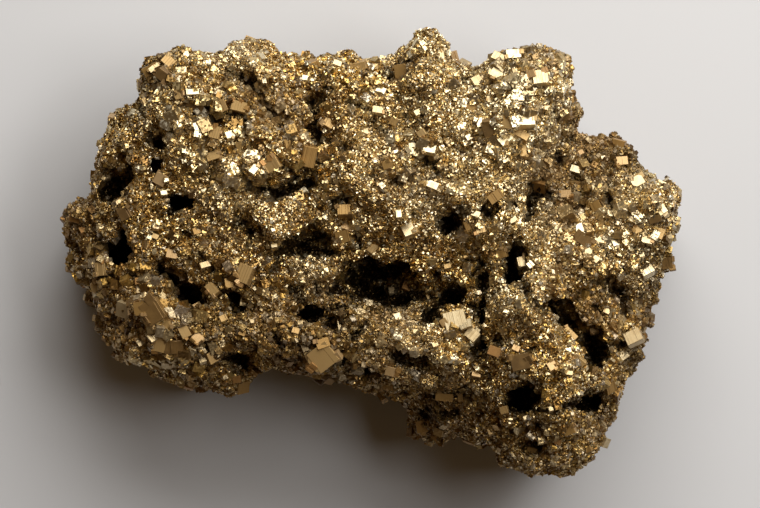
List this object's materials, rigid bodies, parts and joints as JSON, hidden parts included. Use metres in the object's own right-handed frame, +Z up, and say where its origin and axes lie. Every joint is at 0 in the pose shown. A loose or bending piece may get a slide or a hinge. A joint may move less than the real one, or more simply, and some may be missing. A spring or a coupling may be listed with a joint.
{
  "type": "pyrite crystal cluster",
  "caption": "Hand-sized mass of intergrown brassy cubic crystals with lobes, crevices and open vugs, lying on its flat broken back.",
  "frame": {"origin": "middle of the footprint, on the plane of the flat broken back it lies on", "axes": "+Z up, out of the crystal-covered front; +X along the length, towards the end with the recessed flank; +Y towards the edge with the summit ridge"},
  "size_m": [0.12, 0.088, 0.0572],
  "materials": {
    "pyrite": "satin"
  },
  "bodies": {
    "root": {"pyrite_cluster": "pyrite"}
  },
  "joints": []
}
